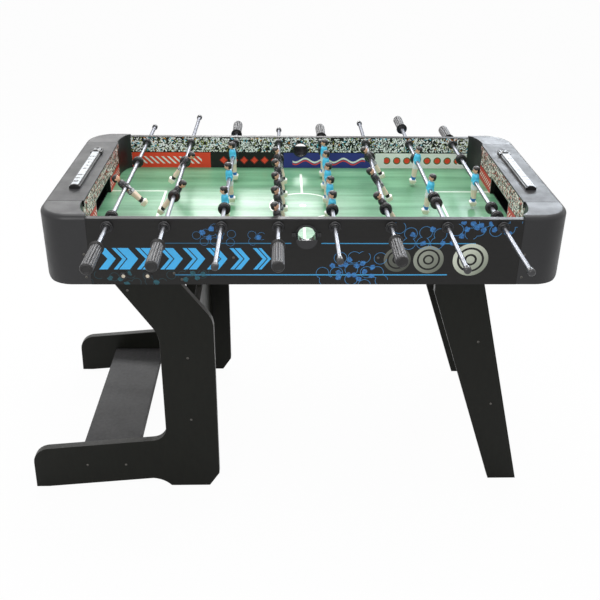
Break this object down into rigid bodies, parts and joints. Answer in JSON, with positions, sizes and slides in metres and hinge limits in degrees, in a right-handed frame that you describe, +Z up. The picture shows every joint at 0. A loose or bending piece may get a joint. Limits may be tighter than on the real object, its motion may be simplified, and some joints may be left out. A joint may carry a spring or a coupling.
{
  "type": "folding foosball table",
  "caption": "Folding foosball table: open play cabinet on an L-shaped and a tapered leg frame, sliding and spinning rods with players, score bars.",
  "frame": {"origin": "on the floor, under the centre of the whole table's bounding box", "axes": "+X along the table towards the tapered leg frame, +Y towards the back side, +Z up"},
  "size_m": [1.307, 1.0966, 0.8055],
  "materials": {
    "black_laminate": "satin black laminate on board",
    "grey_laminate": "matt grey laminate on board",
    "cap_plastic": "satin moulded black plastic",
    "grey_plastic": "satin dark grey plastic",
    "black_plastic": "semi-gloss black plastic",
    "printed_board": "board with a printed speckle",
    "field_board": "green printed board with white lines",
    "chrome_tube": "polished chrome",
    "zinc_steel": "zinc plated",
    "grip_plastic": "satin black grip",
    "bumper_rubber": "black rubber",
    "team_dark": "painted plastic, black shirts",
    "team_cyan": "painted plastic, light blue shirts"
  },
  "bodies": {
    "cabinet": {"side_panel_front": "black_laminate", "side_panel_back": "black_laminate", "top_trims": "grey_plastic", "end_panels": "black_laminate", "end_rails": "grey_plastic", "cabinet_screws": "zinc_steel", "corner_cap_front_left": "cap_plastic", "corner_cap_front_right": "cap_plastic", "corner_cap_back_left": "cap_plastic", "corner_cap_back_right": "cap_plastic", "playfield": "field_board", "goal_walls": "printed_board", "goal_pockets": "black_plastic", "rod_bearings": "black_plastic", "ball_entry_cups": "black_plastic", "scorer_bars": "black_plastic", "leg_hinges": "zinc_steel"},
    "slider_left": {"scorer_slider_left": "black_plastic"},
    "slider_right": {"scorer_slider_right": "black_plastic"},
    "left_leg": {"left_leg_front": "black_laminate", "left_leg_rear": "black_laminate", "left_leg_foot_board": "grey_laminate", "left_leg_cross_board": "grey_laminate", "left_leg_screws": "zinc_steel"},
    "right_leg": {"right_leg_front": "black_laminate", "right_leg_rear": "black_laminate", "right_leg_cross_board": "black_laminate", "right_leg_screws": "zinc_steel"},
    "rod_1_carrier": {"rod_1_bumpers": "bumper_rubber"},
    "rod_1": {"rod_1_tube": "chrome_tube", "rod_1_men": "team_dark", "rod_1_handle": "grip_plastic"},
    "rod_2_carrier": {"rod_2_bumpers": "bumper_rubber"},
    "rod_2": {"rod_2_tube": "chrome_tube", "rod_2_men": "team_dark", "rod_2_handle": "grip_plastic"},
    "rod_3_carrier": {"rod_3_bumpers": "bumper_rubber"},
    "rod_3": {"rod_3_tube": "chrome_tube", "rod_3_men": "team_cyan", "rod_3_handle": "grip_plastic"},
    "rod_4_carrier": {"rod_4_bumpers": "bumper_rubber"},
    "rod_4": {"rod_4_tube": "chrome_tube", "rod_4_men": "team_dark", "rod_4_handle": "grip_plastic"},
    "rod_5_carrier": {"rod_5_bumpers": "bumper_rubber"},
    "rod_5": {"rod_5_tube": "chrome_tube", "rod_5_men": "team_cyan", "rod_5_handle": "grip_plastic"},
    "rod_6_carrier": {"rod_6_bumpers": "bumper_rubber"},
    "rod_6": {"rod_6_tube": "chrome_tube", "rod_6_men": "team_dark", "rod_6_handle": "grip_plastic"},
    "rod_7_carrier": {"rod_7_bumpers": "bumper_rubber"},
    "rod_7": {"rod_7_tube": "chrome_tube", "rod_7_men": "team_cyan", "rod_7_handle": "grip_plastic"},
    "rod_8_carrier": {"rod_8_bumpers": "bumper_rubber"},
    "rod_8": {"rod_8_tube": "chrome_tube", "rod_8_men": "team_cyan", "rod_8_handle": "grip_plastic"}
  },
  "joints": [
    {"name": "rod_1_slide", "type": "slide", "parent": "cabinet", "child": "rod_1_carrier", "axis": [0, 1, 0], "range_m": [-0.029, 0.0925]},
    {"name": "rod_1_spin", "type": "hinge", "parent": "rod_1_carrier", "child": "rod_1", "pos_m": [-0.396, -0.07775, 0.764], "axis": [0, 1, 0], "continuous": true},
    {"name": "rod_2_slide", "type": "slide", "parent": "cabinet", "child": "rod_2_carrier", "axis": [0, 1, 0], "range_m": [-0.1565, 0.0805]},
    {"name": "rod_2_spin", "type": "hinge", "parent": "rod_2_carrier", "child": "rod_2", "pos_m": [-0.269, -0.01175, 0.764], "axis": [0, 1, 0], "continuous": true},
    {"name": "rod_3_slide", "type": "slide", "parent": "cabinet", "child": "rod_3_carrier", "axis": [0, 1, 0], "range_m": [-0.056, 0.083]},
    {"name": "rod_3_spin", "type": "hinge", "parent": "rod_3_carrier", "child": "rod_3", "pos_m": [-0.142, -0.00825, 0.764], "axis": [0, 1, 0], "continuous": true},
    {"name": "rod_4_slide", "type": "slide", "parent": "cabinet", "child": "rod_4_carrier", "axis": [0, 1, 0], "range_m": [-0.003, 0.0815]},
    {"name": "rod_4_spin", "type": "hinge", "parent": "rod_4_carrier", "child": "rod_4", "pos_m": [-0.015, -0.07575, 0.764], "axis": [0, 1, 0], "continuous": true},
    {"name": "rod_5_slide", "type": "slide", "parent": "cabinet", "child": "rod_5_carrier", "axis": [0, 1, 0], "range_m": [-0.03, 0.0545]},
    {"name": "rod_5_spin", "type": "hinge", "parent": "rod_5_carrier", "child": "rod_5", "pos_m": [0.112, -0.00725, 0.764], "axis": [0, 1, 0], "continuous": true},
    {"name": "rod_6_slide", "type": "slide", "parent": "cabinet", "child": "rod_6_carrier", "axis": [0, 1, 0], "range_m": [-0.08, 0.059]},
    {"name": "rod_6_spin", "type": "hinge", "parent": "rod_6_carrier", "child": "rod_6", "pos_m": [0.239, -0.02625, 0.764], "axis": [0, 1, 0], "continuous": true},
    {"name": "rod_7_slide", "type": "slide", "parent": "cabinet", "child": "rod_7_carrier", "axis": [0, 1, 0], "range_m": [-0.1175, 0.116]},
    {"name": "rod_7_spin", "type": "hinge", "parent": "rod_7_carrier", "child": "rod_7", "pos_m": [0.366, 0.02075, 0.764], "axis": [0, 1, 0], "continuous": true},
    {"name": "rod_8_slide", "type": "slide", "parent": "cabinet", "child": "rod_8_carrier", "axis": [0, 1, 0], "range_m": [-0.016, 0.1185]},
    {"name": "rod_8_spin", "type": "hinge", "parent": "rod_8_carrier", "child": "rod_8", "pos_m": [0.493, -0.03025, 0.764], "axis": [0, 1, 0], "continuous": true},
    {"name": "left_leg_fold", "type": "hinge", "parent": "cabinet", "child": "left_leg", "pos_m": [-0.3685, -0.01575, 0.642], "axis": [0, 1, 0], "range_deg": [0, 90]},
    {"name": "right_leg_fold", "type": "hinge", "parent": "cabinet", "child": "right_leg", "pos_m": [0.4085, -0.01575, 0.625], "axis": [0, 1, 0], "range_deg": [0, 98]},
    {"name": "scorer_left_slide", "type": "slide", "parent": "cabinet", "child": "slider_left", "axis": [0, -1, 0], "range_m": [0, 0.23]},
    {"name": "scorer_right_slide", "type": "slide", "parent": "cabinet", "child": "slider_right", "axis": [0, -1, 0], "range_m": [0, 0.23]}
  ]
}
